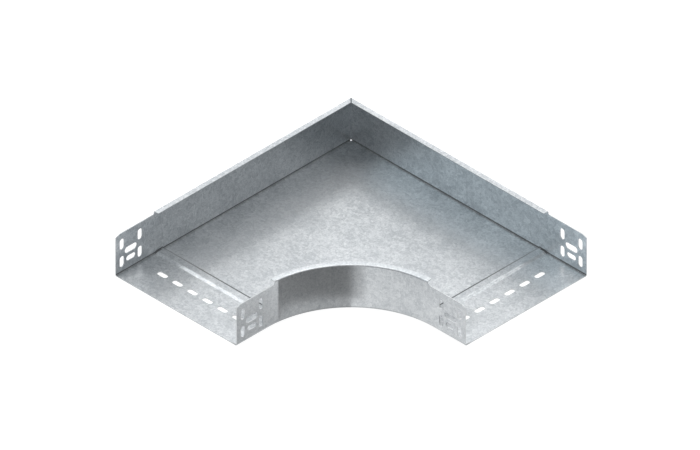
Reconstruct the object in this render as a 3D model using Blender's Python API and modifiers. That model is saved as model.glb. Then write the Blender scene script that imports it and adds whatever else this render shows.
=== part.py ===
"""Horizontal 90 degree bend for a sheet-steel cable tray, for a tray 60 mm high and 200 mm wide.

The bend is two pieces of zinc-coated sheet steel:
tray_body   the floor and both outer walls with their top flanges, folded from one sheet
inner_wall  a flanged strip curved round the inside of the bend, its bottom lip on the floor

Lengths are in metres, +Z is up. The origin is on the underside of the floor, which the bend rests
on, in the middle of its square plan. One limb opens towards -Y and has its outer wall on the -X
side. The other limb opens towards +X and has its outer wall on the +Y side. Each limb has its own
directions: "along" runs in from its open mouth, "across" runs from its outer wall to the inside
of the bend. The limbs are mirror images in the upright plane through the outer corner.
"""

import math
from collections import namedtuple

import bmesh
import bpy
from mathutils import Matrix, Vector

MM = 0.001

# Sheet and folds
SHEET = 1.0 * MM
FOLD_INSIDE = 1.0 * MM
FLANGE_WIDTH = 8.0 * MM
LIP_WIDTH = 8.0 * MM
LAP_GAP = 0.3 * MM
FLOOR_EDGE_SETBACK = 0.6 * MM

# Channel
INSIDE_WIDTH = 201.0 * MM
INSIDE_HEIGHT = 60.0 * MM
INNER_RADIUS = 137.5 * MM
STRAIGHT_END = 53.0 * MM

# Mouths, where a straight tray slides over the bend
MOUTH_WALL_DROP = 4.5 * MM
MOUTH_CHAMFER_LENGTH = 6.8 * MM
MOUTH_CHAMFER_DROP = 2.5 * MM
OUTER_FLANGE_START = 64.0 * MM
INNER_FLANGE_START = 63.0 * MM

# Raised band pressed across the floor of each limb, from the outer wall to just short of the lip
BAND_START = 64.0 * MM
BAND_FRONT_RAMP = 6.0 * MM
BAND_CROWN = 8.3 * MM
BAND_BACK_RAMP = 1.2 * MM
BAND_HEIGHT = 1.2 * MM
BAND_RUNOUT_UP_WALL = 5.0 * MM
BAND_TO_LIP = 2.0 * MM
BAND_END_RAMP = 6.0 * MM

# Bolt slots, centred on the walls' height and on the floor's width
SLOT_WIDTH = 7.0 * MM
SLOT_LENGTH = 15.0 * MM
WIDE_SLOT_WIDTH = 8.5 * MM
WIDE_SLOT_LENGTH = 20.0 * MM
WALL_SLOT_FIRST = 10.0 * MM
WALL_SLOT_PITCH = 30.0 * MM
WALL_SLOT_RISE = 25.0 * MM
FLOOR_SLOT_ALONG = 40.0 * MM
FLOOR_SLOT_PITCH = 25.0 * MM
FLOOR_SLOT_MARGIN = 38.0 * MM

# Outer corner: the flanges end short of each other, and a round relief sits where the folds meet
FLANGE_MITRE_GAP = 1.4 * MM
RELIEF_DIAMETER = 2.4 * MM
RELIEF_INSET = 1.6 * MM

# Finishes
SHEET_COLOUR = (0.55, 0.57, 0.59)
SHEET_ROUGHNESS = 0.42
STRIP_COLOUR = (0.60, 0.62, 0.63)
STRIP_ROUGHNESS = 0.38

# Fineness of the round stretches, and the turn between two faces that still shade as one
FOLD_STEPS = 5
ARC_STEP = math.radians(2.5)
SLOT_END_STEPS = 8
RELIEF_STEPS = 24
SMOOTH_TURN = math.radians(30)

# How far the cutting shapes reach past what they cut, and how near two points are one
OVERCUT = 4.0 * MM
SAME_PLACE = 0.01 * MM

# Worked out from the sizes above
FOLD_OUTSIDE = FOLD_INSIDE + SHEET
MOUTH_WIDTH = INSIDE_WIDTH + 2 * SHEET
WALL_HEIGHT = INSIDE_HEIGHT + 2 * SHEET
MOUTH_WALL_HEIGHT = WALL_HEIGHT - MOUTH_WALL_DROP
LIP_LEVEL = SHEET + LAP_GAP
OUTER_SIDE = MOUTH_WIDTH + INNER_RADIUS + STRAIGHT_END
HALF_SIDE = OUTER_SIDE / 2
ARC_CENTRE = Vector((HALF_SIDE - STRAIGHT_END, STRAIGHT_END - HALF_SIDE, 0.0))
UP = Vector((0, 0, 1))

Limb = namedtuple("Limb", "name corner along across")
FRONT_LIMB = Limb("front", Vector((-HALF_SIDE, -HALF_SIDE, 0)), Vector((0, 1, 0)), Vector((1, 0, 0)))
SIDE_LIMB = Limb("side", Vector((HALF_SIDE, HALF_SIDE, 0)), Vector((-1, 0, 0)), Vector((0, -1, 0)))


def clear_scene():
    for thing in list(bpy.data.objects):
        bpy.data.objects.remove(thing, do_unlink=True)
    for group in list(bpy.data.collections):
        bpy.data.collections.remove(group)


def new_collection(name):
    group = bpy.data.collections.new(name)
    bpy.context.scene.collection.children.link(group)
    return group


def galvanised(name, colour, roughness):
    """A zinc-coated steel finish."""
    material = bpy.data.materials.new(name)
    material.use_nodes = True
    shader = material.node_tree.nodes["Principled BSDF"]
    shader.inputs["Base Color"].default_value = (*colour, 1.0)
    shader.inputs["Metallic"].default_value = 1.0
    shader.inputs["Roughness"].default_value = roughness
    return material


def arc_points(centre, radius, start, end, steps):
    """Points on an arc in a plane, both ends included, angles in radians."""
    turn = (end - start) / steps
    angles = [start + turn * i for i in range(steps + 1)]
    return [(centre[0] + radius * math.cos(a), centre[1] + radius * math.sin(a)) for a in angles]


def merged(values):
    """The values in rising order, with those that lie on one another taken once."""
    kept = []
    for value in sorted(values):
        if not kept or value - kept[-1] > SAME_PLACE:
            kept.append(value)
    return kept


def band_height(along):
    """How high the pressed band lifts the floor at this distance from the mouth."""
    into = along - BAND_START
    front = into / BAND_FRONT_RAMP
    back = (BAND_FRONT_RAMP + BAND_CROWN + BAND_BACK_RAMP - into) / BAND_BACK_RAMP
    return BAND_HEIGHT * max(0.0, min(1.0, front, back))


def mouth_top(along):
    """Height of the unflanged wall at this distance from the mouth, with its chamfered corner."""
    return MOUTH_WALL_HEIGHT - MOUTH_CHAMFER_DROP * max(0.0, 1.0 - along / MOUTH_CHAMFER_LENGTH)


def flange_section():
    """From the top of the unflanged wall over the fold to the flange's free edge: (inward, height)."""
    centre = (FOLD_OUTSIDE, WALL_HEIGHT - FOLD_OUTSIDE)
    fold = arc_points(centre, FOLD_OUTSIDE, math.pi, math.pi / 2, FOLD_STEPS)
    return fold + [(FLANGE_WIDTH, WALL_HEIGHT)]


def sheet_from_grid(name, rows, has_face, mitre_plane, material):
    """A sheet of SHEET thickness whose outside face is a grid of points, mirrored to the other limb.

    rows is a list of rows of points. has_face(row, column) says whether the sheet is there.
    """
    mesh = bpy.data.meshes.new(name)
    bm = bmesh.new()
    grid = [[bm.verts.new(point) for point in row] for row in rows]
    for i in range(len(grid) - 1):
        for j in range(len(grid[i]) - 1):
            if has_face(i, j):
                bm.faces.new((grid[i][j], grid[i + 1][j], grid[i + 1][j + 1], grid[i][j + 1]))
    bmesh.ops.delete(bm, geom=[v for v in bm.verts if not v.link_faces], context="VERTS")
    bm.to_mesh(mesh)
    bm.free()
    mesh.shade_smooth()
    mesh.set_sharp_from_angle(angle=SMOOTH_TURN)
    mesh.materials.append(material)
    sheet = bpy.data.objects.new(name, mesh)

    mirror = sheet.modifiers.new("other limb", "MIRROR")
    mirror.use_axis = (True, False, False)
    mirror.mirror_object = mitre_plane
    mirror.merge_threshold = SAME_PLACE
    thicken = sheet.modifiers.new("sheet thickness", "SOLIDIFY")
    thicken.thickness = SHEET
    thicken.offset = -1.0
    thicken.use_even_offset = True
    return sheet


def prism(name, outlines, reach, place, group):
    """A cutting shape: flat closed outlines, extruded to both sides of their plane by reach."""
    curve = bpy.data.curves.new(name, "CURVE")
    curve.dimensions = "2D"
    curve.fill_mode = "BOTH"
    curve.extrude = reach
    for outline in outlines:
        spline = curve.splines.new("POLY")
        spline.points.add(len(outline) - 1)
        for point, (x, y) in zip(spline.points, outline):
            point.co = (x, y, 0.0, 1.0)
        spline.use_cyclic_u = True
    drawn = bpy.data.objects.new(name, curve)
    group.objects.link(drawn)
    evaluated = drawn.evaluated_get(bpy.context.evaluated_depsgraph_get())
    mesh = bpy.data.meshes.new_from_object(evaluated)
    bpy.data.objects.remove(drawn, do_unlink=True)
    bm = bmesh.new()
    bm.from_mesh(mesh)
    bmesh.ops.remove_doubles(bm, verts=bm.verts, dist=SAME_PLACE)
    bmesh.ops.recalc_face_normals(bm, faces=bm.faces)
    bm.to_mesh(mesh)
    bm.free()
    solid = bpy.data.objects.new(name, mesh)
    solid.matrix_world = place
    solid.hide_render = True
    solid.display_type = "WIRE"
    group.objects.link(solid)
    return solid


def cut(sheet, cutters, solver):
    for cutter in cutters:
        boolean = sheet.modifiers.new(cutter.name, "BOOLEAN")
        boolean.operation = "DIFFERENCE"
        boolean.solver = solver
        boolean.object = cutter


def keep_flat_faces_flat(sheet):
    """Shades the folds round without bending the shading of the flat faces beside them."""
    weighted = sheet.modifiers.new("flat faces", "WEIGHTED_NORMAL")
    weighted.keep_sharp = True


def frame_at(origin, first, second):
    """A placing matrix whose plane is spanned by two directions at right angles."""
    turn = Matrix((first, second, first.cross(second))).transposed().to_4x4()
    return Matrix.Translation(origin) @ turn


def slot(centre, length, width, upright=False):
    """Outline of a round-ended slot, lying along the first direction or upright along the second."""
    straight = (length - width) / 2
    ends = arc_points((straight, 0), width / 2, -math.pi / 2, math.pi / 2, SLOT_END_STEPS)
    ends += arc_points((-straight, 0), width / 2, math.pi / 2, 3 * math.pi / 2, SLOT_END_STEPS)
    if upright:
        ends = [(-y, x) for x, y in ends]
    return [(centre[0] + x, centre[1] + y) for x, y in ends]


def wall_slot_outlines():
    """Bolt slots of one mouth, seen square to its walls: (along, height)."""
    columns = (WALL_SLOT_FIRST, WALL_SLOT_FIRST + WALL_SLOT_PITCH)
    middle_column = (columns[0] + columns[1]) / 2
    middle_height = MOUTH_WALL_HEIGHT / 2
    low = middle_height - WALL_SLOT_RISE / 2
    high = middle_height + WALL_SLOT_RISE / 2
    outlines = [slot((middle_column, low), SLOT_LENGTH, SLOT_WIDTH)]
    outlines.append(slot((middle_column, middle_height), WIDE_SLOT_LENGTH, WIDE_SLOT_WIDTH))
    for along in columns:
        for height in (low, high):
            outlines.append(slot((along, height), SLOT_LENGTH, SLOT_WIDTH, upright=True))
    return outlines


def floor_slot_outlines():
    """Bolt slots in the floor of one mouth, as many as its width holds: (across, along)."""
    gaps = math.floor((INSIDE_WIDTH - 2 * FLOOR_SLOT_MARGIN) / FLOOR_SLOT_PITCH)
    first = (MOUTH_WIDTH - gaps * FLOOR_SLOT_PITCH) / 2
    places = [first + FLOOR_SLOT_PITCH * i for i in range(gaps + 1)]
    return [slot((across, FLOOR_SLOT_ALONG), SLOT_LENGTH, SLOT_WIDTH) for across in places]


def inside_of_bend_outline():
    """Plan of the space inside the bend, out to the edge of the floor and past both mouths."""
    radius = INNER_RADIUS + FLOOR_EDGE_SETBACK
    steps = math.ceil(math.pi / 2 / ARC_STEP)
    outline = arc_points(ARC_CENTRE, radius, math.pi, math.pi / 2, steps)
    outside = HALF_SIDE + OVERCUT
    outline.append((outside, ARC_CENTRE.y + radius))
    outline.append((outside, -outside))
    outline.append((ARC_CENTRE.x - radius, -outside))
    return outline


def make_slot_cutters(group):
    """For each limb, one cutter through both of its walls and one through its floor."""
    wall_cutters = []
    floor_cutters = []
    for limb in (FRONT_LIMB, SIDE_LIMB):
        middle = limb.corner + limb.across * (MOUTH_WIDTH / 2)
        reach = MOUTH_WIDTH / 2 + OVERCUT
        wall_place = frame_at(middle, limb.along, UP)
        wall_name = limb.name + "_wall_slots"
        wall_cutters.append(prism(wall_name, wall_slot_outlines(), reach, wall_place, group))
        floor_place = frame_at(limb.corner, limb.across, limb.along)
        floor_name = limb.name + "_floor_slots"
        floor_cutters.append(prism(floor_name, floor_slot_outlines(), OVERCUT, floor_place, group))
    return wall_cutters, floor_cutters


def make_inside_cutter(group):
    """The space inside the bend, which gives the floor its curved edge."""
    return prism("inside_of_bend", [inside_of_bend_outline()], OVERCUT, Matrix.Identity(4), group)


def make_corner_cutters(group):
    """The gap between the ends of the two flanges, and the relief at the foot of the corner."""
    inwards = Vector((1, -1, 0)).normalized()
    corner = Vector((-HALF_SIDE, HALF_SIDE, 0.0))
    near = SHEET
    far = FLANGE_WIDTH * math.sqrt(2) + OVERCUT
    half_gap = FLANGE_MITRE_GAP / 2
    gap_outline = [(near, -half_gap), (far, -half_gap), (far, half_gap), (near, half_gap)]
    foot = WALL_HEIGHT - FOLD_OUTSIDE
    top = WALL_HEIGHT + OVERCUT
    gap_place = frame_at(corner + UP * ((foot + top) / 2), inwards, UP.cross(inwards))
    gap = prism("flange_mitre_gap", [gap_outline], (top - foot) / 2, gap_place, group)

    circle = arc_points((0, 0), RELIEF_DIAMETER / 2, 0.0, 2 * math.pi, RELIEF_STEPS)[:-1]
    relief_place = Matrix.Translation(corner + Vector((RELIEF_INSET, -RELIEF_INSET, 0.0)))
    relief = prism("corner_relief", [circle], FOLD_OUTSIDE, relief_place, group)
    return [gap, relief]


def front_limb_point(along, across, up):
    return FRONT_LIMB.corner + FRONT_LIMB.along * along + FRONT_LIMB.across * across + UP * up


def make_tray_body(mitre_plane, material):
    """Floor, fold, outer wall and flange of the front limb, up to the mitre plane at the corner."""
    apex = INNER_RADIUS * (1 - math.sqrt(0.5)) + MOUTH_WIDTH
    band_end = MOUTH_WIDTH - LIP_WIDTH - BAND_TO_LIP
    fold_centre = (FOLD_OUTSIDE, FOLD_OUTSIDE)
    section = [(apex + OVERCUT, 0.0), (band_end, 0.0), (band_end - BAND_END_RAMP, 0.0)]
    section += arc_points(fold_centre, FOLD_OUTSIDE, 3 * math.pi / 2, math.pi, FOLD_STEPS)
    section += [(0.0, BAND_RUNOUT_UP_WALL), (0.0, MOUTH_WALL_HEIGHT)]
    top_row = len(section) - 1
    section += flange_section()

    crown_start = BAND_START + BAND_FRONT_RAMP
    crown_end = crown_start + BAND_CROWN
    band_stations = [BAND_START, crown_start, crown_end, crown_end + BAND_BACK_RAMP]
    stations = merged([0.0, MOUTH_CHAMFER_LENGTH, OUTER_FLANGE_START] + band_stations)
    rows = []
    for number, (across, up) in enumerate(section):
        up_the_wall = 1.0 - up / BAND_RUNOUT_UP_WALL
        to_the_lip = (band_end - across) / BAND_END_RAMP
        share = max(0.0, min(1.0, up_the_wall, to_the_lip))
        row = []
        for along in stations:
            height = mouth_top(along) if number == top_row else up + share * band_height(along)
            row.append(front_limb_point(along, across, height))
        row.append(front_limb_point(OUTER_SIDE - across, across, up))
        rows.append(row)

    def has_face(row, column):
        return row < top_row or stations[column] > OUTER_FLANGE_START - SAME_PLACE

    return sheet_from_grid("tray_body", rows, has_face, mitre_plane, material)


def make_inner_wall(mitre_plane, material):
    """The curved strip, from the front mouth round to the mitre plane: flange, wall and lip."""
    section = list(reversed(flange_section()))
    top_row = len(section)
    section.append((0.0, MOUTH_WALL_HEIGHT))
    fold_centre = (FOLD_OUTSIDE, LIP_LEVEL + FOLD_OUTSIDE)
    section += arc_points(fold_centre, FOLD_OUTSIDE, math.pi, 3 * math.pi / 2, FOLD_STEPS)
    section.append((LIP_WIDTH, LIP_LEVEL))

    eighth_turn = INNER_RADIUS * math.pi / 4
    arc_steps = math.ceil(math.pi / 4 / ARC_STEP)
    arc_stations = [STRAIGHT_END + eighth_turn * i / arc_steps for i in range(arc_steps + 1)]
    stations = merged([0.0, MOUTH_CHAMFER_LENGTH, INNER_FLANGE_START] + arc_stations)
    rows = []
    for number, (inward, up) in enumerate(section):
        row = []
        for along in stations:
            height = mouth_top(along) if number == top_row else up
            turn = max(0.0, along - STRAIGHT_END) / INNER_RADIUS
            outwards = Vector((-math.cos(turn), math.sin(turn), 0.0))
            foot = ARC_CENTRE + outwards * (INNER_RADIUS + inward)
            foot.y += min(0.0, along - STRAIGHT_END)
            row.append(foot + UP * height)
        rows.append(row)

    def has_face(row, column):
        return row >= top_row or stations[column] > INNER_FLANGE_START - SAME_PLACE

    return sheet_from_grid("inner_wall", rows, has_face, mitre_plane, material)


def build_bend():
    clear_scene()
    bend = new_collection("cable_tray_bend")
    tools = new_collection("cutters")
    mitre_plane = bpy.data.objects.new("mitre_plane", None)
    mitre_plane.rotation_euler = (0.0, 0.0, math.radians(45))
    bend.objects.link(mitre_plane)

    zinc_sheet = galvanised("galvanised_sheet", SHEET_COLOUR, SHEET_ROUGHNESS)
    zinc_strip = galvanised("galvanised_strip", STRIP_COLOUR, STRIP_ROUGHNESS)
    wall_slots, floor_slots = make_slot_cutters(tools)

    body = make_tray_body(mitre_plane, zinc_sheet)
    cut(body, [make_inside_cutter(tools), *make_corner_cutters(tools)], "EXACT")
    cut(body, wall_slots + floor_slots, "MANIFOLD")
    wall = make_inner_wall(mitre_plane, zinc_strip)
    cut(wall, wall_slots, "MANIFOLD")
    for sheet in (body, wall):
        keep_flat_faces_flat(sheet)
        bend.objects.link(sheet)


build_bend()
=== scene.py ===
"""Looks of the cable tray bend: its two sheets of galvanised steel, a pale floor and studio light.

Lengths are in metres, +Z is up, and the origin is under the middle of the bend's square plan, on
the surface that it rests on. The front limb opens towards -Y, the side limb towards +X. The two
limbs are mirror images, so each sheet is folded for the front limb and mirrored to the other one.
"""

import logging
import math
from dataclasses import dataclass
from enum import Enum, IntEnum
from typing import Any, Iterable, Optional, Sequence, Union

import bmesh
import bpy
from mathutils import Matrix, Vector


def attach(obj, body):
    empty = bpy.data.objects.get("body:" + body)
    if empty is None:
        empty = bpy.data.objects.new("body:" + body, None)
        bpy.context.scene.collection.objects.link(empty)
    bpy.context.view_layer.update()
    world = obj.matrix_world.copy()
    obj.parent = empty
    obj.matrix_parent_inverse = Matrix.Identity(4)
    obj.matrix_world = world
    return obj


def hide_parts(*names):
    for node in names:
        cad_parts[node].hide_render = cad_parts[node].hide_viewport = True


MM = 0.001
# Points nearer to each other than this are one point.
SAME_PLACE = 0.01 * MM
# Cutting blocks reach this far past the sheet.
OVERCUT = 4 * MM
# Only the large faces set the normals of the folds and edges beside them.
AREA_WEIGHT = 100
UP = Vector((0.0, 0.0, 1.0))
MITRE_NORMAL = Vector((1.0, 1.0, 0.0)).normalized()
Socket = bpy.types.NodeSocket
Value = Union[float, bpy.types.NodeSocket]

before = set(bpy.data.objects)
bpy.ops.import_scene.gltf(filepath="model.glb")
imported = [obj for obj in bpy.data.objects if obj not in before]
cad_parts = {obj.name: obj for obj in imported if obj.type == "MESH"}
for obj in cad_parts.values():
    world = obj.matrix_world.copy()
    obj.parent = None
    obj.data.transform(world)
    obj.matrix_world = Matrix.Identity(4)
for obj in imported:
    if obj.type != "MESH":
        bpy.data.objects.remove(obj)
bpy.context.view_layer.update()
log = logging.getLogger("cable_tray_bend")


class Solver(Enum):
    """Blender's ways to cut one solid out of another."""

    EXACT = "EXACT"
    MANIFOLD = "MANIFOLD"


class Punched(IntEnum):
    """The axis along which a punch goes through the sheet: of a wall, or of the floor."""

    WALL = 0
    FLOOR = 2


def linear(colour: str) -> tuple[float, float, float, float]:
    """Turns an sRGB hex colour to linear light.

    Args:
        colour: Six hex digits after a hash sign.

    Returns:
        Red, green, blue and an alpha of 1.
    """
    channels = [int(colour[i:i + 2], 16) / 255 for i in (1, 3, 5)]
    straight = [c / 12.92 if c <= 0.04045 else ((c + 0.055) / 1.055) ** 2.4 for c in channels]
    return (straight[0], straight[1], straight[2], 1.0)


def add_node(tree: bpy.types.NodeTree, kind: str, settings: Optional[dict[str, Any]] = None,
             **inputs: Any) -> bpy.types.Node:
    """Adds a node, with its settings, and fills or links its inputs.

    Args:
        tree: The node tree that takes the node.
        kind: The node's type name.
        settings: Properties of the node, by name.
        **inputs: A value or an output socket for each input, by the input's name with
            underscores for spaces, or by its number after an underscore.

    Returns:
        The new node.
    """
    node = tree.nodes.new(kind)
    for name, value in (settings or {}).items():
        setattr(node, name, value)
    for name, value in inputs.items():
        key = int(name[1:]) if name[1:].isdigit() else name.replace("_", " ")
        if isinstance(value, bpy.types.NodeSocket):
            tree.links.new(value, node.inputs[key])
        else:
            node.inputs[key].default_value = value
    return node


@dataclass(frozen=True)
class TraySizes:
    """The bend's sizes, as they are in the solids.

    Only the floor's edge is set back a little further, so that no dark line shows under the inner
    wall.
    """

    sheet: float = 1.0 * MM
    fold_inside: float = 1.0 * MM
    flange: float = 8.0 * MM
    lip: float = 8.0 * MM
    lap_gap: float = 0.3 * MM
    edge_setback: float = 1.45 * MM
    inside_width: float = 201.0 * MM
    inside_height: float = 60.0 * MM
    inner_radius: float = 137.5 * MM
    straight_end: float = 53.0 * MM
    wall_drop: float = 4.5 * MM
    chamfer_length: float = 6.8 * MM
    chamfer_drop: float = 2.5 * MM
    outer_flange_start: float = 64.0 * MM
    inner_flange_start: float = 63.0 * MM
    band_start: float = 64.0 * MM
    band_front_ramp: float = 6.0 * MM
    band_crown: float = 8.3 * MM
    band_back_ramp: float = 1.2 * MM
    band_height: float = 1.2 * MM
    band_runout: float = 5.0 * MM
    band_to_lip: float = 2.0 * MM
    band_end_ramp: float = 6.0 * MM
    mitre_gap: float = 1.4 * MM
    relief_diameter: float = 2.4 * MM
    relief_inset: float = 1.6 * MM

    @property
    def fold_outside(self) -> float:
        """Radius of a fold's outer face."""
        return self.fold_inside + self.sheet

    @property
    def width(self) -> float:
        """Width of a mouth over its walls."""
        return self.inside_width + 2 * self.sheet

    @property
    def height(self) -> float:
        """Height of a flanged wall."""
        return self.inside_height + 2 * self.sheet

    @property
    def mouth_height(self) -> float:
        """Height of the wall at a mouth."""
        return self.height - self.wall_drop

    @property
    def side(self) -> float:
        """Length of an outer wall, from its mouth to the outer corner."""
        return self.width + self.inner_radius + self.straight_end

    @property
    def half(self) -> float:
        """Half the side of the square plan."""
        return self.side / 2

    @property
    def lip_level(self) -> float:
        """Height of the lip's underside."""
        return self.sheet + self.lap_gap

    @property
    def arc_centre(self) -> Vector:
        """Centre of the inner wall's arc."""
        return Vector((self.half - self.straight_end, self.straight_end - self.half, 0.0))

    @property
    def band_foot(self) -> float:
        """Distance from the mouth of the foot of the pressed band's back."""
        return self.band_start + self.band_front_ramp + self.band_crown + self.band_back_ramp

    @property
    def band_end(self) -> float:
        """Distance from the outer wall at which the pressed band has run out."""
        return self.width - self.lip - self.band_to_lip

    def front(self, across: float, along: float, up: float) -> Vector:
        """A point of the front limb.

        Args:
            across: Distance from the outer wall's outer face.
            along: Distance from the mouth.
            up: Height.

        Returns:
            The point in the shared frame.
        """
        return Vector((across - self.half, along - self.half, up))


def limb_place(tree: bpy.types.NodeTree, place: Socket,
               sizes: TraySizes) -> tuple[Socket, Socket, Socket]:
    """Works out where a point lies on its limb, the same on both limbs.

    Args:
        tree: The material's node tree.
        place: The place on the object.
        sizes: The bend's sizes.

    Returns:
        Sockets with the distance from the outer wall, from the mouth, and the height.
    """
    xyz = add_node(tree, "ShaderNodeSeparateXYZ", Vector=place)
    both = add_node(tree, "ShaderNodeMath", {"operation": "ADD"}, _0=xyz.outputs[0],
                    _1=xyz.outputs[1])
    past_mitre = add_node(tree, "ShaderNodeMath", {"operation": "MAXIMUM"}, _0=both.outputs[0],
                          _1=0.0)
    counted = []
    for value in xyz.outputs[:2]:
        local = add_node(tree, "ShaderNodeMath", {"operation": "SUBTRACT"}, _0=value,
                         _1=past_mitre.outputs[0])
        moved = add_node(tree, "ShaderNodeMath", {"operation": "ADD"}, _0=local.outputs[0],
                         _1=sizes.half)
        counted.append(moved.outputs[0])
    across, along = counted
    return across, along, xyz.outputs[2]


@dataclass(frozen=True)
class PaintedShadeAndDimming:
    """Painted shade: matt dark lines where shade falls in the folds and at the band's step.

    One line lies along the foot of the outer wall, one at the foot of the band's step, and a
    short one where the band's ramp meets the wall. The floor beside the inner wall is also made
    darker and duller. A pair holds the places where the painted shade starts and where it is
    full. The darker floor's places are shares of the mouth's width.
    """

    sizes: TraySizes
    # The colour of the painted shade, which the darker floor takes too.
    colour: str = "#5c5f62"
    roughness: float = 0.8
    blur: float = 0.3 * MM
    fold_height: float = 2.0 * MM
    fold_height_half: float = 0.8 * MM
    fold_across: float = 1.4 * MM
    fold_across_half: float = 0.8 * MM
    step_shift: float = -0.1 * MM
    step_half: float = 1.3 * MM
    step_share_at_wall: float = 0.35
    floor_level: float = 1.5 * MM
    floor_level_half: float = 1.0 * MM
    ramp_half: float = 5.6 * MM
    ramp_across: tuple[float, float] = (3.2 * MM, 2.4 * MM)
    # How far the floor beside the inner wall is made darker and duller.
    floor_dimming: float = 0.0
    floor_dimming_across: tuple[float, float] = (0.68, 0.82)
    floor_dimming_from_mouth: tuple[float, float] = (0.08, 0.22)
    floor_dimming_from_curve: tuple[float, float] = (0.55, 0.40)

    def band_lift(self, tree: bpy.types.NodeTree, along: Socket) -> Socket:
        """Works out how high the pressed band lifts the floor.

        Args:
            tree: The material's node tree.
            along: The distance from the mouth.

        Returns:
            A socket with the height.
        """
        s = self.sizes
        front = add_node(tree, "ShaderNodeMapRange", {"interpolation_type": "SMOOTHSTEP"},
                         _0=along, _1=s.band_start, _2=s.band_start + s.band_front_ramp, _3=0.0,
                         _4=s.band_height)
        back = add_node(tree, "ShaderNodeMapRange", _0=along, _1=s.band_foot - s.band_back_ramp,
                        _2=s.band_foot, _3=s.band_height, _4=0.0)
        return add_node(tree, "ShaderNodeMath", {"operation": "MINIMUM"}, _0=front.outputs[0],
                        _1=back.outputs[0]).outputs[0]

    def stripe(self, tree: bpy.types.NodeTree, value: Socket, middle: float,
               half_width: float) -> Socket:
        """Marks a soft-edged stripe round one value of a distance.

        Args:
            tree: The material's node tree.
            value: The distance.
            middle: The value at the middle of the stripe.
            half_width: Half the stripe's width.

        Returns:
            A socket that is 1 in the stripe and 0 beside it.
        """
        off = add_node(tree, "ShaderNodeMath", {"operation": "SUBTRACT"}, _0=value, _1=middle)
        away = add_node(tree, "ShaderNodeMath", {"operation": "ABSOLUTE"}, _0=off.outputs[0])
        return add_node(tree, "ShaderNodeMapRange", _0=away.outputs[0],
                        _1=half_width + self.blur, _2=half_width - self.blur).outputs[0]

    def mask(self, tree: bpy.types.NodeTree, place: Socket) -> Socket:
        """Marks where the painted shade and the darker floor lie.

        Args:
            tree: The material's node tree.
            place: The place on the object.

        Returns:
            A socket that is 1 where the painted shade or darkening is full, and 0 elsewhere.
        """
        s = self.sizes
        across, along, up = limb_place(tree, place, s)
        over = add_node(tree, "ShaderNodeMath", {"operation": "SUBTRACT"}, _0=up,
                        _1=self.band_lift(tree, along)).outputs[0]
        # Painted shade at the foot of the band's step.
        step = [
            self.stripe(tree, along, s.band_foot + self.step_shift, self.step_half),
            add_node(tree, "ShaderNodeMapRange", _0=across, _1=s.fold_outside, _2=s.height,
                     _3=self.step_share_at_wall, _4=1.0).outputs[0],
            add_node(tree, "ShaderNodeMath", {"operation": "LESS_THAN"}, _0=across,
                     _1=s.band_end).outputs[0],
            add_node(tree, "ShaderNodeMath", {"operation": "COMPARE"}, _0=up,
                     _1=self.floor_level, _2=self.floor_level_half).outputs[0],
        ]
        # Painted shade in the fold at the foot of the outer wall.
        fold = [
            self.stripe(tree, over, self.fold_height, self.fold_height_half),
            add_node(tree, "ShaderNodeMath", {"operation": "COMPARE"}, _0=across,
                     _1=self.fold_across, _2=self.fold_across_half).outputs[0],
        ]
        # Painted shade where the band's ramp meets the wall.
        ramp = [
            self.stripe(tree, along, s.band_start + s.band_front_ramp, self.ramp_half),
            add_node(tree, "ShaderNodeMapRange", _0=across, _1=self.ramp_across[0],
                     _2=self.ramp_across[1]).outputs[0],
            add_node(tree, "ShaderNodeMath", {"operation": "LESS_THAN"}, _0=over,
                     _1=self.fold_height).outputs[0],
        ]
        # The floor beside the inner wall, made darker and duller.
        floor_dimming: list[Value] = [self.floor_dimming]
        for value, (start, full) in ((across, self.floor_dimming_across), (along, self.floor_dimming_from_mouth),
                                     (along, self.floor_dimming_from_curve)):
            floor_dimming.append(add_node(tree, "ShaderNodeMapRange", _0=value, _1=s.width * start,
                                 _2=s.width * full).outputs[0])
        painted_shade_and_dimming: Value = 0.0
        for patch in (step, fold, ramp, floor_dimming):
            share: Value = 1.0
            for part in patch:
                share = add_node(tree, "ShaderNodeMath", {"operation": "MULTIPLY"}, _0=share,
                                 _1=part).outputs[0]
            painted_shade_and_dimming = add_node(tree, "ShaderNodeMath", {"operation": "MAXIMUM"}, _0=painted_shade_and_dimming,
                            _1=share).outputs[0]
        return painted_shade_and_dimming


@dataclass(frozen=True)
class PaintedHighlight:
    """Painted highlight: the top of a flange and the walls at the mouths are made brighter.

    The painted highlight at the mouths fades out over its reach, and grows between two shares
    of the wall's height.
    """

    sizes: TraySizes
    # How much the painted highlight brightens the top of the flange.
    flange: float = 0.0
    flange_skin: float = 0.06 * MM
    # How much the painted highlight brightens the walls at the mouths.
    mouth: float = 0.0
    mouth_reach: float = 80.0 * MM
    mouth_heights: tuple[float, float] = (0.12, 0.75)

    def factor(self, tree: bpy.types.NodeTree, place: Socket) -> Socket:
        """Works out how much brighter the painted highlight makes the zinc.

        Args:
            tree: The material's node tree.
            place: The place on the object.

        Returns:
            A socket with the factor: above 1 on the flange and high on the walls at the mouths.
        """
        s = self.sizes
        _, along, up = limb_place(tree, place, s)
        on_flange = add_node(tree, "ShaderNodeMapRange", _0=up, _1=s.height - self.flange_skin,
                             _2=s.height, _3=1.0, _4=1.0 + self.flange)
        at_mouth = add_node(tree, "ShaderNodeMapRange", _0=along, _1=self.mouth_reach, _2=0.0,
                            _3=0.0, _4=self.mouth)
        on_wall = add_node(tree, "ShaderNodeMapRange", _0=up,
                           _1=s.height * self.mouth_heights[0],
                           _2=s.height * self.mouth_heights[1])
        return add_node(tree, "ShaderNodeMath", {"operation": "MULTIPLY_ADD"},
                        _0=at_mouth.outputs[0], _1=on_wall.outputs[0],
                        _2=on_flange.outputs[0]).outputs[0]


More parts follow.
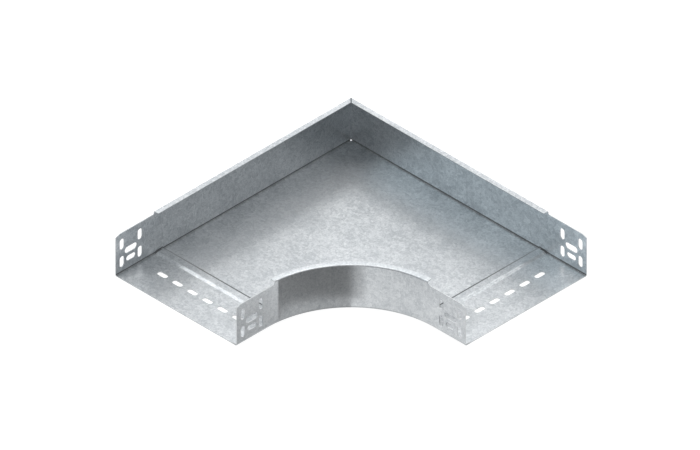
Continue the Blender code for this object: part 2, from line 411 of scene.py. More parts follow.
@dataclass(frozen=True)
class GalvanisedSheet:
    """Strip-galvanised steel: satin zinc, finely mottled by its small crystals and by rolling.

    The zinc's crystals are 1 to 3 mm across and each turns the light a little its own way, so the
    surface looks clouded rather than brushed. Longer clouds of 30 to 60 mm come from handling,
    and faint upright streaks come from bending the strip. The grain is finer than a pixel, and
    only softens the highlights. A share says how much a pattern adds to the crystals' pattern.
    """

    name: str
    # Painted shade in the folds and at the band's step, and a darker floor by the inner wall.
    painted_shade_and_dimming: PaintedShadeAndDimming
    # Painted highlight on the top of a flange and on the walls at the mouths.
    painted_highlight: PaintedHighlight
    zinc: str = "#e2e5e7"
    zinc_dull: str = "#b1b6ba"
    tone_middle: float = 0.95
    tone_spread: float = 0.25
    contrast: float = 1.0
    roughness: float = 0.33
    roughness_spread: float = 0.05
    crystal: float = 1.9 * MM
    facet_share: float = 0.25
    cloud: float = 45.0 * MM
    cloud_share: float = 0.5
    streak: float = 2.6 * MM
    streak_squeeze: float = 0.06
    streak_share: float = 0.0
    grain: float = 0.6 * MM
    grain_share: float = 0.3
    dent_strength: float = 0.62
    dent_depth: float = 0.042 * MM

    def mottle(self, tree: bpy.types.NodeTree, place: Socket) -> tuple[Socket, Socket]:
        """Draws the crystals, and the clouds over them.

        Args:
            tree: The material's node tree.
            place: The place on the object.

        Returns:
            Sockets with the crystals alone, and with the clouds added.
        """
        crystals = add_node(tree, "ShaderNodeTexNoise", Vector=place, Scale=1 / self.crystal,
                            Detail=3.0, Roughness=0.6)
        facets = add_node(tree, "ShaderNodeTexVoronoi", Vector=place,
                          Scale=1 / (2 * self.crystal), Randomness=1.0)
        facet_tone = add_node(tree, "ShaderNodeSeparateColor", Color=facets.outputs["Color"])
        fine = add_node(tree, "ShaderNodeMath", {"operation": "MULTIPLY_ADD"},
                        _0=facet_tone.outputs[0], _1=self.facet_share,
                        _2=crystals.outputs["Fac"])
        clouds = add_node(tree, "ShaderNodeTexNoise", Vector=place, Scale=1 / self.cloud,
                          Detail=4.0, Roughness=0.55)
        clouded = add_node(tree, "ShaderNodeMath", {"operation": "MULTIPLY_ADD"},
                           _0=clouds.outputs["Fac"], _1=self.cloud_share, _2=fine.outputs[0])
        return fine.outputs[0], clouded.outputs[0]

    def zinc_colour(self, tree: bpy.types.NodeTree, place: Socket, clouded: Socket) -> Socket:
        """Works out the zinc's colour away from the painted shade, with the painted highlight.

        Args:
            tree: The material's node tree.
            place: The place on the object.
            clouded: The crystals and clouds.

        Returns:
            A socket with the colour.
        """
        upright = add_node(tree, "ShaderNodeMapping", Vector=place,
                           Scale=(1.0, 1.0, self.streak_squeeze))
        streaks = add_node(tree, "ShaderNodeTexNoise", Vector=upright.outputs[0],
                           Scale=1 / self.streak, Detail=2.0)
        streaked = add_node(tree, "ShaderNodeMath", {"operation": "MULTIPLY_ADD"},
                            _0=streaks.outputs["Fac"], _1=self.streak_share, _2=clouded)
        middle = self.tone_middle + self.streak_share / 2
        spread = self.tone_spread / self.contrast
        tone = add_node(tree, "ShaderNodeMapRange", _0=streaked.outputs[0], _1=middle - spread,
                        _2=middle + spread)
        mottled = add_node(tree, "ShaderNodeMix", {"data_type": "RGBA"}, _0=tone.outputs[0],
                           _6=linear(self.zinc_dull), _7=linear(self.zinc))
        return add_node(tree, "ShaderNodeVectorMath", {"operation": "SCALE"},
                        Vector=mottled.outputs[2],
                        Scale=self.painted_highlight.factor(tree, place)).outputs[0]

    def make(self) -> bpy.types.Material:
        """Builds the material.

        Returns:
            The new material.
        """
        material = bpy.data.materials.new(self.name)
        material.use_nodes = True
        tree = material.node_tree
        tree.nodes.clear()
        place = add_node(tree, "ShaderNodeTexCoord").outputs["Object"]
        fine, clouded = self.mottle(tree, place)
        painted_shade_and_dimming = self.painted_shade_and_dimming.mask(tree, place)
        colour = add_node(tree, "ShaderNodeMix", {"data_type": "RGBA"}, _0=painted_shade_and_dimming,
                          _6=self.zinc_colour(tree, place, clouded),
                          _7=linear(self.painted_shade_and_dimming.colour))
        uneven = add_node(tree, "ShaderNodeMapRange", _0=clouded,
                          _1=self.tone_middle - self.tone_spread,
                          _2=self.tone_middle + self.tone_spread,
                          _3=self.roughness + self.roughness_spread,
                          _4=self.roughness - self.roughness_spread)
        rough = add_node(tree, "ShaderNodeMix", {"data_type": "FLOAT"}, _0=painted_shade_and_dimming,
                         _2=uneven.outputs[0], _3=self.painted_shade_and_dimming.roughness)
        grain = add_node(tree, "ShaderNodeTexNoise", Vector=place, Scale=1 / self.grain,
                         Detail=2.0)
        dents = add_node(tree, "ShaderNodeMath", {"operation": "MULTIPLY_ADD"},
                         _0=grain.outputs["Fac"], _1=self.grain_share, _2=fine)
        bump = add_node(tree, "ShaderNodeBump", Height=dents.outputs[0],
                        Strength=self.dent_strength, Distance=self.dent_depth)
        # Where the painted shade or darker floor lies, the zinc is matt and not metal.
        outside_painted_shade = add_node(tree, "ShaderNodeMath", {"operation": "SUBTRACT"}, _0=1.0, _1=painted_shade_and_dimming)
        shader = add_node(tree, "ShaderNodeBsdfPrincipled", Base_Color=colour.outputs[2],
                          Roughness=rough.outputs[0], Normal=bump.outputs[0],
                          Metallic=outside_painted_shade.outputs[0])
        add_node(tree, "ShaderNodeOutputMaterial", Surface=shader.outputs[0])
        return material


@dataclass(frozen=True)
class ShearedEdge:
    """The sheet's cut edges: bare steel, burnished and then torn by the shear or the punch."""

    name: str = "sheared_steel_edge"
    steel: str = "#d6d9da"
    torn: str = "#b6babc"
    roughness: float = 0.42
    grain: float = 0.35 * MM
    tear_strength: float = 0.5
    tear_depth: float = 0.05 * MM

    def make(self) -> bpy.types.Material:
        """Builds the material.

        Returns:
            The new material.
        """
        material = bpy.data.materials.new(self.name)
        material.use_nodes = True
        tree = material.node_tree
        shader = tree.nodes["Principled BSDF"]
        place = add_node(tree, "ShaderNodeTexCoord").outputs["Object"]
        grain = add_node(tree, "ShaderNodeTexNoise", Vector=place, Scale=1 / self.grain,
                         Detail=2.0)
        colour = add_node(tree, "ShaderNodeMix", {"data_type": "RGBA"}, _0=grain.outputs["Fac"],
                          _6=linear(self.torn), _7=linear(self.steel))
        bump = add_node(tree, "ShaderNodeBump", Height=grain.outputs["Fac"],
                        Strength=self.tear_strength, Distance=self.tear_depth)
        shader.inputs["Metallic"].default_value = 1.0
        shader.inputs["Roughness"].default_value = self.roughness
        tree.links.new(colour.outputs[2], shader.inputs["Base Color"])
        tree.links.new(bump.outputs[0], shader.inputs["Normal"])
        return material


@dataclass(frozen=True)
class StudioFloor:
    """Matt paper that shows as white where the light is full, and keeps a faint shadow.

    Reflections show it as an even pale ground, as a large lit sheet of paper looks in metal.
    """

    name: str = "matt_white_paper"
    paper: str = "#8f8f8f"
    white: str = "#ffffff"
    roughness: float = 0.9
    specular: float = 0.1
    glow: float = 0.88
    mirrored_glow: float = 1.00

    def make(self) -> bpy.types.Material:
        """Builds the material.

        Returns:
            The new material.
        """
        material = bpy.data.materials.new(self.name)
        material.use_nodes = True
        tree = material.node_tree
        shader = tree.nodes["Principled BSDF"]
        shader.inputs["Base Color"].default_value = linear(self.paper)
        shader.inputs["Roughness"].default_value = self.roughness
        shader.inputs["Specular IOR Level"].default_value = self.specular
        shader.inputs["Emission Color"].default_value = linear(self.white)
        path = add_node(tree, "ShaderNodeLightPath")
        seen = add_node(tree, "ShaderNodeMath", {"operation": "MULTIPLY"},
                        _0=path.outputs["Is Camera Ray"], _1=self.glow)
        tree.links.new(seen.outputs[0], shader.inputs["Emission Strength"])
        mirrored = add_node(tree, "ShaderNodeMath", {"operation": "MAXIMUM"},
                            _0=path.outputs["Is Glossy Ray"],
                            _1=path.outputs["Is Transmission Ray"])
        ground = add_node(tree, "ShaderNodeEmission", Color=linear(self.white),
                          Strength=self.mirrored_glow)
        both = add_node(tree, "ShaderNodeMixShader", _0=mirrored.outputs[0],
                        _1=shader.outputs[0], _2=ground.outputs[0])
        tree.links.new(both.outputs[0], tree.nodes["Material Output"].inputs["Surface"])
        return material


@dataclass(frozen=True)
class SlotPattern:
    """The bolt slots of one mouth."""

    width: float = 7.0 * MM
    length: float = 15.0 * MM
    wide_width: float = 8.5 * MM
    wide_length: float = 20.0 * MM
    first: float = 10.0 * MM
    pitch: float = 30.0 * MM
    rise: float = 25.0 * MM
    floor_along: float = 40.0 * MM
    floor_pitch: float = 25.0 * MM
    floor_count: int = 6
    end_steps: int = 10
    parallel: float = 0.99
    nearly_round: float = 0.9999

    def slug(self, bm: bmesh.types.BMesh, size: Vector, place: Vector,
             axis: Punched) -> None:
        """Adds a round-ended cutting block.

        Args:
            bm: The mesh that takes it.
            size: Its length along each axis.
            place: Its middle.
            axis: The axis along which it goes through the sheet.
        """
        made = bmesh.ops.create_cube(bm, size=1.0, matrix=Matrix.Translation(place)
                                     @ Matrix.Diagonal((*size, 1.0)))
        verts = set(made["verts"])
        through = [e for e in bm.edges if e.verts[0] in verts
                   and abs((e.verts[0].co - e.verts[1].co).normalized()[axis]) > self.parallel]
        radius = min(size[i] for i in range(3) if i != axis) / 2
        bmesh.ops.bevel(bm, geom=through, offset=radius * self.nearly_round,
                        offset_type="OFFSET", affect="EDGES", segments=self.end_steps,
                        profile=0.5, material=-1)

    def wall_block(self, tray: TraySizes) -> bmesh.types.BMesh:
        """The cutting blocks through both walls of the front limb.

        Args:
            tray: The bend's sizes.

        Returns:
            A mesh of separate closed blocks.
        """
        bm = bmesh.new()
        reach = tray.width + 2 * OVERCUT
        across = tray.width / 2
        middle = tray.mouth_height / 2
        centre = self.first + self.pitch / 2
        for along in (self.first, self.first + self.pitch):
            for up in (middle - self.rise / 2, middle + self.rise / 2):
                self.slug(bm, Vector((reach, self.width, self.length)),
                          tray.front(across, along, up), Punched.WALL)
        self.slug(bm, Vector((reach, self.length, self.width)),
                  tray.front(across, centre, middle - self.rise / 2), Punched.WALL)
        self.slug(bm, Vector((reach, self.wide_length, self.wide_width)),
                  tray.front(across, centre, middle), Punched.WALL)
        return bm

    def floor_block(self, tray: TraySizes) -> bmesh.types.BMesh:
        """The cutting blocks through the floor of the front limb.

        Args:
            tray: The bend's sizes.

        Returns:
            A mesh of separate closed blocks.
        """
        bm = bmesh.new()
        first = (tray.width - (self.floor_count - 1) * self.floor_pitch) / 2
        for number in range(self.floor_count):
            place = tray.front(first + number * self.floor_pitch, self.floor_along, 0.0)
            self.slug(bm, Vector((self.length, self.width, 2 * OVERCUT)), place,
                      Punched.FLOOR)
        return bm


def add_mirrored(bm: bmesh.types.BMesh) -> None:
    """Adds the other limb's half of a mesh, mirrored in the upright plane through the corner.

    Args:
        bm: The mesh, whose front limb half is there.
    """
    flip = Matrix.Scale(-1.0, 4, MITRE_NORMAL)
    copy = bmesh.ops.duplicate(bm, geom=bm.verts[:] + bm.edges[:] + bm.faces[:])["geom"]
    verts = [g for g in copy if isinstance(g, bmesh.types.BMVert)]
    faces = [g for g in copy if isinstance(g, bmesh.types.BMFace)]
    bmesh.ops.transform(bm, matrix=flip, verts=verts)
    bmesh.ops.reverse_faces(bm, faces=faces)
    bmesh.ops.remove_doubles(bm, verts=bm.verts, dist=SAME_PLACE)


def score(bm: bmesh.types.BMesh, point: Vector, normal: Vector,
          faces: Optional[Iterable[bmesh.types.BMFace]] = None,
          clear_ahead: bool = False) -> None:
    """Cuts faces along a plane, and may clear the side that its normal points to.

    Args:
        bm: The mesh.
        point: A point of the plane.
        normal: The plane's normal.
        faces: The faces to cut, or None for all of them.
        clear_ahead: Whether what lies on the normal's side is deleted.
    """
    chosen = list(faces) if faces is not None else bm.faces[:]
    edges = {e for f in chosen for e in f.edges}
    verts = {v for f in chosen for v in f.verts}
    bmesh.ops.bisect_plane(bm, geom=[*verts, *edges, *chosen], dist=SAME_PLACE / 10,
                           plane_co=point, plane_no=normal, clear_outer=clear_ahead)


def mesh_object(name: str, bm: bmesh.types.BMesh) -> bpy.types.Object:
    """Makes an object of a mesh.

    Args:
        name: The object's name.
        bm: The mesh, which is freed.

    Returns:
        The object, linked to the scene.
    """
    mesh = bpy.data.meshes.new(name)
    bm.to_mesh(mesh)
    bm.free()
    made = bpy.data.objects.new(name, mesh)
    bpy.context.scene.collection.objects.link(made)
    return made


def settle(piece: bpy.types.Object, smooth_turn: float) -> None:
    """Applies a piece's modifiers, shades it smooth and keeps its sharp edges.

    Args:
        piece: The object.
        smooth_turn: The largest turn between two faces that still shade as one, in radians.
    """
    seen = piece.evaluated_get(bpy.context.evaluated_depsgraph_get())
    mesh = bpy.data.meshes.new_from_object(seen)
    piece.modifiers.clear()
    piece.data = mesh
    mesh.shade_smooth()
    mesh.set_sharp_from_angle(angle=smooth_turn)
    weighted = piece.modifiers.new("flat faces", "WEIGHTED_NORMAL")
    weighted.keep_sharp = True
    weighted.weight = AREA_WEIGHT


@dataclass
class FormedSheet:
    """What both sheets share: thickness, punched slots, softened edges and dressing."""

    sizes: TraySizes
    slots: SlotPattern
    name: str
    node: str
    slot: str
    finish: GalvanisedSheet
    cut_edge: bpy.types.Material
    cut_edge_index: int = 1
    fold_steps: int = 8
    edge: float = 0.12 * MM
    edge_turn: float = math.radians(60)
    smooth_turn: float = math.radians(32)

    def blank(self, bm: bmesh.types.BMesh) -> bpy.types.Object:
        """Makes the sheet of its outside face, with its finishes and its thickness inwards.

        Args:
            bm: The open outside face, which is freed.

        Returns:
            The sheet.
        """
        piece = mesh_object(self.name, bm)
        piece.data.materials.append(self.finish.make())
        piece.data.materials.append(self.cut_edge)
        wall = piece.modifiers.new("thickness", "SOLIDIFY")
        wall.thickness = self.sizes.sheet
        wall.offset = -1.0
        wall.use_even_offset = True
        wall.material_offset_rim = self.cut_edge_index
        return piece

    def punch(self, piece: bpy.types.Object, block: bmesh.types.BMesh,
              solver: Solver) -> None:
        """Cuts a block out of the sheet, and leaves a sheared edge.

        Args:
            piece: The sheet.
            block: The cutting mesh, which is freed.
            solver: The way to cut it out.
        """
        for face in block.faces:
            face.material_index = self.cut_edge_index
        cutter = mesh_object(f"{self.name}_punch_{len(piece.modifiers)}", block)
        for material in piece.data.materials:
            cutter.data.materials.append(material)
        cutter.hide_render = True
        boolean = piece.modifiers.new(cutter.name, "BOOLEAN")
        boolean.operation = "DIFFERENCE"
        boolean.solver = solver.value
        boolean.object = cutter

    def dress(self, piece: bpy.types.Object) -> None:
        """Applies the cuts, takes the sharpness off the edges and puts the piece in the frame.

        Args:
            piece: The cut sheet.
        """
        punches = [m.object for m in piece.modifiers if m.type == "BOOLEAN"]
        worn = piece.modifiers.new("edges", "BEVEL")
        worn.limit_method = "ANGLE"
        worn.angle_limit = self.edge_turn
        worn.width = self.edge
        worn.segments = 1
        worn.use_clamp_overlap = True
        settle(piece, self.smooth_turn)
        for punch in punches:
            bpy.data.objects.remove(punch, do_unlink=True)
        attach(piece, "root")
        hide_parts(self.node)
        log.info("%s: %d faces", piece.name, len(piece.data.polygons))


def drawn_out(sizes: TraySizes, corners: Sequence[tuple[float, float]],
              length: float) -> bmesh.types.BMesh:
    """Draws a sharp-cornered section out along the front limb, from its mouth.

    Args:
        sizes: The bend's sizes.
        corners: The section, as distance across and height.
        length: How far it is drawn out.

    Returns:
        The open face.
    """
    bm = bmesh.new()
    line = [bm.verts.new(sizes.front(across, 0.0, up)) for across, up in corners]
    edges = [bm.edges.new(pair) for pair in zip(line, line[1:])]
    grown = bmesh.ops.extrude_edge_only(bm, edges=edges)["geom"]
    ends = [g for g in grown if isinstance(g, bmesh.types.BMVert)]
    bmesh.ops.translate(bm, verts=ends, vec=(0.0, length, 0.0))
    return bm


def round_folds(bm: bmesh.types.BMesh, radius: float, steps: int) -> None:
    """Rounds the folds of a section that has been drawn out.

    Args:
        bm: The open face.
        radius: The folds' outer radius.
        steps: Facets in each fold.
    """
    folds = [e for e in bm.edges if len(e.link_faces) == 2]
    bmesh.ops.bevel(bm, geom=folds, offset=radius, offset_type="OFFSET", affect="EDGES",
                    segments=steps, profile=0.5, material=-1)


def low_faces(bm: bmesh.types.BMesh, height: float) -> list[bmesh.types.BMFace]:
    """Finds the faces that lie no higher than a level.

    Args:
        bm: The mesh.
        height: The level.

    Returns:
        The faces.
    """
    return [f for f in bm.faces if max(v.co.z for v in f.verts) < height + SAME_PLACE]


def trim_mouth(bm: bmesh.types.BMesh, sizes: TraySizes, flange_start: float,
               centre: Optional[Vector] = None, normal: Optional[Vector] = None) -> None:
    """Cuts the flange away at the mouth, and the wall's top corner.

    Args:
        bm: The folded face of the front limb.
        sizes: The bend's sizes.
        flange_start: Distance from the mouth at which the flange starts.
        centre: A point of the plane of the flange's end, where the limb curves.
        normal: That plane's normal, away from the mouth.
    """
    top = sizes.mouth_height
    score(bm, sizes.front(0, 0, top), UP)
    point = centre or sizes.front(0, flange_start, 0)
    away = normal or Vector((0.0, 1.0, 0.0))
    above = [f for f in bm.faces if f.calc_center_median().z > top]
    score(bm, point, away, above)
    gone = [f for f in bm.faces if f.calc_center_median().z > top
            and (f.calc_center_median() - point).dot(away) < 0]
    bmesh.ops.delete(bm, geom=gone, context="FACES")
    slope = Vector((0.0, -sizes.chamfer_drop, sizes.chamfer_length)).normalized()
    mouth = [f for f in bm.faces if f.calc_center_median().z < top
             and min(v.co.y for v in f.verts) < SAME_PLACE - sizes.half]
    score(bm, sizes.front(0, 0, top - sizes.chamfer_drop), slope, mouth, clear_ahead=True)


def face_outwards(bm: bmesh.types.BMesh) -> None:
    """Turns an open face so that its lowest face looks down.

    Args:
        bm: The open face.
    """
    bmesh.ops.recalc_face_normals(bm, faces=bm.faces[:])
    lowest = min(bm.faces, key=lambda f: (f.calc_center_median().z, -f.calc_area()))
    if lowest.normal.z > 0:
        bmesh.ops.reverse_faces(bm, faces=bm.faces[:])


@dataclass
class TrayBody(FormedSheet):
    """Floor, outer walls and their flanges, folded from one sheet.

    The pressed band rises on an S-shaped ramp, which catches the light as the real one does.
    """

    crease: float = 0.4 * MM
    crease_steps: int = 3
    ramp_steps: int = 8
    rim_steps: int = 96
    relief_steps: int = 32

    def folded_half(self) -> bmesh.types.BMesh:
        """Folds the outside face of the front limb, up to the mitre plane.

        Returns:
            The open face, pointing outwards.
        """
        s = self.sizes
        apex = s.inner_radius * (1 - math.sqrt(0.5)) + s.width
        corners = [(apex + OVERCUT, 0.0), (0.0, 0.0), (0.0, s.height), (s.flange, s.height)]
        bm = drawn_out(s, corners, s.side)
        score(bm, Vector((0.0, 0.0, 0.0)), MITRE_NORMAL, clear_ahead=True)
        round_folds(bm, s.fold_outside, self.fold_steps)
        trim_mouth(bm, s, s.outer_flange_start)
        self.press_band(bm)
        face_outwards(bm)
        return bm

    def band_lift(self, along: float) -> float:
        """Works out how high the pressed band lifts the floor.

        Args:
            along: The distance from the mouth.

        Returns:
            The height.
        """
        s = self.sizes
        into = along - s.band_start
        front = max(0.0, min(1.0, into / s.band_front_ramp))
        back = (s.band_front_ramp + s.band_crown + s.band_back_ramp - into) / s.band_back_ramp
        return s.band_height * max(0.0, min(front * front * (3.0 - 2.0 * front), back))

    def press_band(self, bm: bmesh.types.BMesh) -> None:
        """Raises the band across the floor, out to the foot of the wall and short of the lip.

        Args:
            bm: The folded face of the front limb.
        """
        s = self.sizes
        score(bm, s.front(0, 0, s.band_runout), UP)
        for across in (s.band_end, s.band_end - s.band_end_ramp):
            score(bm, s.front(across, 0, 0), Vector((1, 0, 0)), low_faces(bm, s.band_runout))
        crown = s.band_start + s.band_front_ramp
        slope = [s.band_start + s.band_front_ramp * step / self.ramp_steps
                 for step in range(self.ramp_steps + 1)]
        stations = (crown + s.band_crown, crown + s.band_crown + s.band_back_ramp)
        for along in (*slope, *stations):
            score(bm, s.front(0, along, 0), Vector((0, 1, 0)), low_faces(bm, s.band_runout))
        creases = []
        for edge in bm.edges:
            alongs = [v.co.y + s.half for v in edge.verts]
            across = max(v.co.x + s.half for v in edge.verts)
            low = max(v.co.z for v in edge.verts) < s.fold_outside + SAME_PLACE
            level = abs(alongs[0] - alongs[1]) < SAME_PLACE
            at_station = min(abs(alongs[0] - station) for station in stations) < SAME_PLACE
            if low and level and at_station and across < s.band_end + SAME_PLACE:
                creases.append(edge)
        for vert in bm.verts:
            if vert.co.z > s.band_runout + SAME_PLACE:
                continue
            up_the_wall = 1.0 - vert.co.z / s.band_runout
            to_the_lip = (s.band_end - (vert.co.x + s.half)) / s.band_end_ramp
            share = max(0.0, min(1.0, up_the_wall, to_the_lip))
            vert.co.z += share * self.band_lift(vert.co.y + s.half)
        bmesh.ops.bevel(bm, geom=creases, offset=self.crease, offset_type="OFFSET",
                        affect="EDGES", segments=self.crease_steps, profile=0.5, material=-1)

    def inside_cutter(self) -> bmesh.types.BMesh:
        """The space inside the bend, out to the floor's edge.

        Returns:
            A closed cutting mesh.
        """
        s = self.sizes
        radius = s.inner_radius + s.edge_setback
        outside = s.half + OVERCUT
        bm = bmesh.new()
        start = bm.verts.new(s.arc_centre + Vector((-radius, 0.0, -OVERCUT)))
        bmesh.ops.spin(bm, geom=[start], cent=s.arc_centre, axis=-UP, angle=math.pi / 2,
                       steps=self.rim_steps)
        bm.verts.ensure_lookup_table()
        ends = [v for v in bm.verts if len(v.link_edges) == 1]
        front = min(ends, key=lambda v: v.co.x)
        side = max(ends, key=lambda v: v.co.x)
        front_out = bmesh.ops.extrude_vert_indiv(bm, verts=[front])["verts"][0]
        front_out.co.y = -outside
        side_out = bmesh.ops.extrude_vert_indiv(bm, verts=[side])["verts"][0]
        side_out.co.x = outside
        corner = bmesh.ops.extrude_vert_indiv(bm, verts=[side_out])["verts"][0]
        corner.co.y = -outside
        bm.edges.new((corner, front_out))
        face = bmesh.ops.contextual_create(bm, geom=bm.edges[:])["faces"]
        raised = bmesh.ops.extrude_face_region(bm, geom=face)["geom"]
        top = [g for g in raised if isinstance(g, bmesh.types.BMVert)]
        bmesh.ops.translate(bm, verts=top, vec=(0.0, 0.0, 2 * OVERCUT))
        bmesh.ops.recalc_face_normals(bm, faces=bm.faces[:])
        return bm

    def mitre_cutter(self) -> bmesh.types.BMesh:
        """The gap between the ends of the two flanges at the outer corner.

        Returns:
            A closed cutting mesh.
        """
        s = self.sizes
        foot = s.height - s.fold_outside
        top = s.height + OVERCUT
        far = s.flange * math.sqrt(2) + OVERCUT
        turn = Matrix.Rotation(math.radians(-45), 4, "Z")
        corner = Vector((-s.half, s.half, (foot + top) / 2))
        inwards = Vector((1, -1, 0)).normalized()
        place = Matrix.Translation(corner + inwards * ((s.sheet + far) / 2)) @ turn
        size = Matrix.Diagonal((far - s.sheet, s.mitre_gap, top - foot, 1.0))
        bm = bmesh.new()
        bmesh.ops.create_cube(bm, size=1.0, matrix=place @ size)
        return bm

    def relief_cutter(self) -> bmesh.types.BMesh:
        """The round relief where the floor's two folds meet.

        Returns:
            A closed cutting mesh.
        """
        s = self.sizes
        centre = Vector((-s.half + s.relief_inset, s.half - s.relief_inset, 0.0))
        radius = s.relief_diameter / 2
        bm = bmesh.new()
        bmesh.ops.create_cone(bm, cap_ends=True, segments=self.relief_steps, radius1=radius,
                              radius2=radius, depth=2 * s.fold_outside,
                              matrix=Matrix.Translation(centre))
        return bm

    def build(self) -> bpy.types.Object:
        """Folds, thickens, cuts and dresses the tray's body.

        Returns:
            The finished piece.
        """
        bm = self.folded_half()
        add_mirrored(bm)
        piece = self.blank(bm)
        for block in (self.inside_cutter(), self.mitre_cutter(), self.relief_cutter()):
            self.punch(piece, block, Solver.EXACT)
        for block in (self.slots.wall_block(self.sizes), self.slots.floor_block(self.sizes)):
            add_mirrored(block)
            self.punch(piece, block, Solver.MANIFOLD)
        self.dress(piece)
        return piece


@dataclass
class InnerWall(FormedSheet):
    """The curved strip round the inside of the bend."""

    arc_steps: int = 40

    def build(self) -> bpy.types.Object:
        """Bends, thickens, cuts and dresses the inner wall.

        Returns:
            The finished piece.
        """
        s = self.sizes
        edge = s.width - s.flange
        corners = [(edge, s.height), (s.width, s.height), (s.width, s.lip_level),
                   (edge, s.lip_level)]
        bm = drawn_out(s, corners, s.straight_end)
        round_folds(bm, s.fold_outside, self.fold_steps)
        tangent = s.straight_end - s.half
        ends = [e for e in bm.edges if all(abs(v.co.y - tangent) < SAME_PLACE for v in e.verts)]
        end_verts = list({v for e in ends for v in e.verts})
        bmesh.ops.spin(bm, geom=ends + end_verts, cent=s.arc_centre, axis=-UP,
                       angle=math.pi / 4, steps=self.arc_steps)
        bmesh.ops.remove_doubles(bm, verts=bm.verts, dist=SAME_PLACE)
        turn = (s.inner_flange_start - s.straight_end) / s.inner_radius
        trim_mouth(bm, s, s.inner_flange_start, s.arc_centre,
                   Vector((math.sin(turn), math.cos(turn), 0.0)))
        face_outwards(bm)
        add_mirrored(bm)
        piece = self.blank(bm)
        block = self.slots.wall_block(s)
        add_mirrored(block)
        self.punch(piece, block, Solver.MANIFOLD)
        self.dress(piece)
        return piece


@dataclass(frozen=True)
class Softbox:
    """A rectangular area lamp that faces the bend.

    Its brightness is the one that a surface shows, where 1 is white.
    """

    name: str
    direction: tuple[float, float, float]
    distance: float
    width: float
    height: float
    brightness: float
    colour: str = "#ffffff"

    def hang(self) -> bpy.types.Object:
        """Hangs the lamp.

        Returns:
            The lamp's object.
        """
        lamp = bpy.data.lights.new(self.name, "AREA")
        lamp.shape = "RECTANGLE"
        lamp.size = self.width
        lamp.size_y = self.height
        lamp.energy = self.brightness * math.pi * self.width * self.height
        lamp.color = linear(self.colour)[:3]
        holder = bpy.data.objects.new(self.name, lamp)
        towards = Vector(self.direction).normalized()
        holder.location = towards * self.distance
        holder.rotation_euler = towards.to_track_quat("Z", "Y").to_euler()
        bpy.context.scene.collection.objects.link(holder)
        return holder


@dataclass(frozen=True)
class Flag:
    """A grey card that only reflections show, as studios use to shape a shiny surface.

    Its turn and lean are in degrees. A lean of 90 stands it up, and one of 0 lays it down.
    """

    name: str
    foot: tuple[float, float]
    width: float
    height: float
    turn: float
    lean: float
    grey: str
    clearance: float = 0.2 * MM

    def stand(self) -> bpy.types.Object:
        """Stands the card on the floor, or lays it down.

        Returns:
            The card's object.
        """
        lean = math.radians(self.lean)
        rise = self.height / 2 * math.sin(lean) + self.clearance
        place = Matrix.Translation((*self.foot, rise)) @ Matrix.Rotation(
            math.radians(self.turn), 4, "Z") @ Matrix.Rotation(lean, 4, "X")
        size = Matrix.Diagonal((self.width, self.height, 1.0, 1.0))
        bm = bmesh.new()
        bmesh.ops.create_grid(bm, x_segments=1, y_segments=1, size=0.5, matrix=place @ size)
        card = mesh_object(self.name, bm)
        material = bpy.data.materials.new(f"{self.name}_card")
        material.use_nodes = True
        shader = material.node_tree.nodes["Principled BSDF"]
        shader.inputs["Base Color"].default_value = linear("#000000")
        shader.inputs["Specular IOR Level"].default_value = 0.0
        shader.inputs["Emission Color"].default_value = linear(self.grey)
        shader.inputs["Emission Strength"].default_value = 1.0
        card.data.materials.append(material)
        card.visible_camera = False
        card.visible_diffuse = False
        card.visible_transmission = False
        card.visible_shadow = False
        return card


@dataclass(frozen=True)
class Studio:
    """Floor, lamps, world and camera."""

    floor_side: float = 12.0
    floor_drop: float = 0.05 * MM
    image_width: int = 700
    image_height: int = 450
    pixels_per_metre: float = 847.6
    origin_pixel: tuple[float, float] = (351.1, 275.9)
    camera_distance: float = 3.0
    camera_reach: float = 20.0
    world_colour: str = "#ababab"
    lamps: Sequence[Softbox] = ()
    flags: Sequence[Flag] = ()

    def lay_floor(self) -> bpy.types.Object:
        """Lays the paper that the bend rests on.

        Returns:
            The floor's object.
        """
        bm = bmesh.new()
        bmesh.ops.create_grid(bm, x_segments=1, y_segments=1, size=self.floor_side / 2,
                              matrix=Matrix.Translation((0.0, 0.0, -self.floor_drop)))
        floor = mesh_object("studio_floor", bm)
        floor.data.materials.append(StudioFloor().make())
        return floor

    def set_world(self) -> None:
        """Gives the room an even light."""
        world = bpy.data.worlds.new("studio_room")
        world.use_nodes = True
        background = world.node_tree.nodes["Background"]
        background.inputs["Color"].default_value = linear(self.world_colour)
        background.inputs["Strength"].default_value = 1.0
        bpy.context.scene.world = world

    def set_camera(self) -> bpy.types.Object:
        """Sets the isometric camera so that the origin falls on its pixel.

        Returns:
            The camera's object.
        """
        back = Vector((1.0, -1.0, 1.0)).normalized()
        right = Vector((1.0, 1.0, 0.0)).normalized()
        up = back.cross(right)
        data = bpy.data.cameras.new("isometric_camera")
        data.type = "ORTHO"
        data.ortho_scale = self.image_width / self.pixels_per_metre
        data.clip_end = self.camera_reach
        camera = bpy.data.objects.new("isometric_camera", data)
        across = (self.image_width / 2 - self.origin_pixel[0]) / self.pixels_per_metre
        above = (self.origin_pixel[1] - self.image_height / 2) / self.pixels_per_metre
        camera.location = right * across + up * above + back * self.camera_distance
        camera.rotation_euler = back.to_track_quat("Z", "Y").to_euler()
        bpy.context.scene.collection.objects.link(camera)
        bpy.context.scene.camera = camera
        return camera

    def build(self) -> None:
        """Builds the studio."""
        self.lay_floor()
        self.set_world()
        for lamp in self.lamps:
            lamp.hang()
            log.info("%s: brightness %.2f", lamp.name, lamp.brightness)
        for flag in self.flags:
            flag.stand()
            log.info("%s: grey %s", flag.name, flag.grey)
        self.set_camera()
        bpy.context.scene.view_settings.view_transform = "Standard"


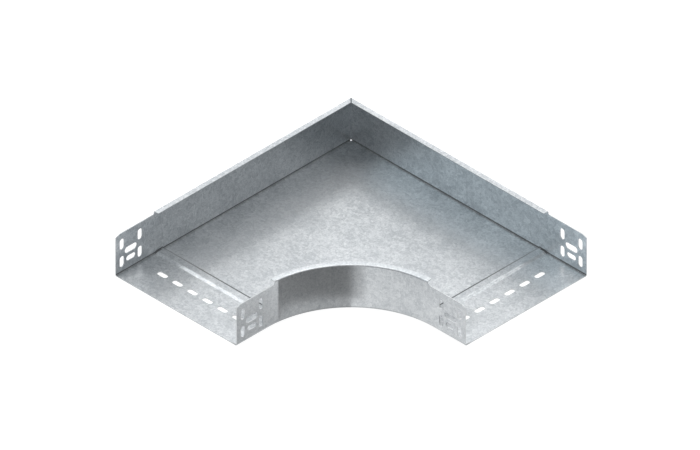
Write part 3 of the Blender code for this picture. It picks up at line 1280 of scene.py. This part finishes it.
LAMPS = (
    Softbox("back_low_panel", (-0.68, 0.68, 0.27), 2.0, 2.0, 0.5, 2.00),
    Softbox("back_panel", (-0.60, 0.60, 0.53), 2.0, 2.0, 0.5, 0.86),
    Softbox("front_ramp_softbox", (-0.577, 0.156, 0.801), 1.9, 0.5, 0.4, 1.80),
    Softbox("front_limb_softbox", (-0.44, 0.24, 0.865), 1.9, 0.5, 0.5, 2.10),
    Softbox("side_limb_softbox", (-0.24, 0.44, 0.865), 1.9, 0.5, 0.5, 4.10),
    Softbox("front_panel", (-0.577, -0.577, 0.577), 2.0, 1.4, 1.0, 0.86, "#e4f7ff"),
    Softbox("side_panel", (0.577, 0.577, 0.577), 2.0, 1.4, 1.0, 0.22),
    Softbox("overhead_panel", (0.0, 0.0, 1.0), 2.0, 3.0, 3.0, 0.68),
)
FLAGS = (
    Flag("curve_flag", (0.0475, -0.0853), 0.0582, 0.07, 60.0, 90.0, "#828282"),
    Flag("curve_side_flag", (0.0646, -0.0558), 0.0098, 0.07, 58.0, 90.0, "#d0d0d0"),
    Flag("curve_edge_flag", (0.0208, -0.1194), 0.0303, 0.07, 33.9, 90.0, "#828282"),
    Flag("curve_edge_card", (0.0211, -0.1197), 0.0303, 0.07, 33.9, 90.0, "#f0f0f0"),
    Flag("curve_floor_flag", (0.0414, -0.0838), 0.060, 0.053, 45.0, 0.0, "#c4c4c4"),
    Flag("straight_flag", (0.039, -0.148), 0.066, 0.100, 0.0, 0.0, "#cbcbcb"),
)


def main() -> None:
    """Builds the bend, the studio and the camera."""
    logging.basicConfig(level=logging.INFO, format="%(message)s")
    sizes = TraySizes()
    slots = SlotPattern()
    cut_edge = ShearedEdge().make()
    # The body's finish dims the floor by the inner wall and paints a highlight at the mouths.
    sheet_finish = GalvanisedSheet("strip_galvanised_sheet", PaintedShadeAndDimming(sizes, floor_dimming=0.32),
                                   PaintedHighlight(sizes, mouth=0.38), contrast=0.85)
    # The strip's finish paints a highlight on the top of its flange.
    strip_finish = GalvanisedSheet("strip_galvanised_strip", PaintedShadeAndDimming(sizes),
                                   PaintedHighlight(sizes, flange=0.13), contrast=0.6,
                                   streak_share=0.2)
    TrayBody(sizes, slots, "folded_tray", "tray_body", "galvanised_sheet", sheet_finish,
             cut_edge).build()
    InnerWall(sizes, slots, "curved_inner_wall", "inner_wall", "galvanised_strip",
              strip_finish, cut_edge).build()
    Studio(lamps=LAMPS, flags=FLAGS).build()


if __name__ == "__main__":
    main()
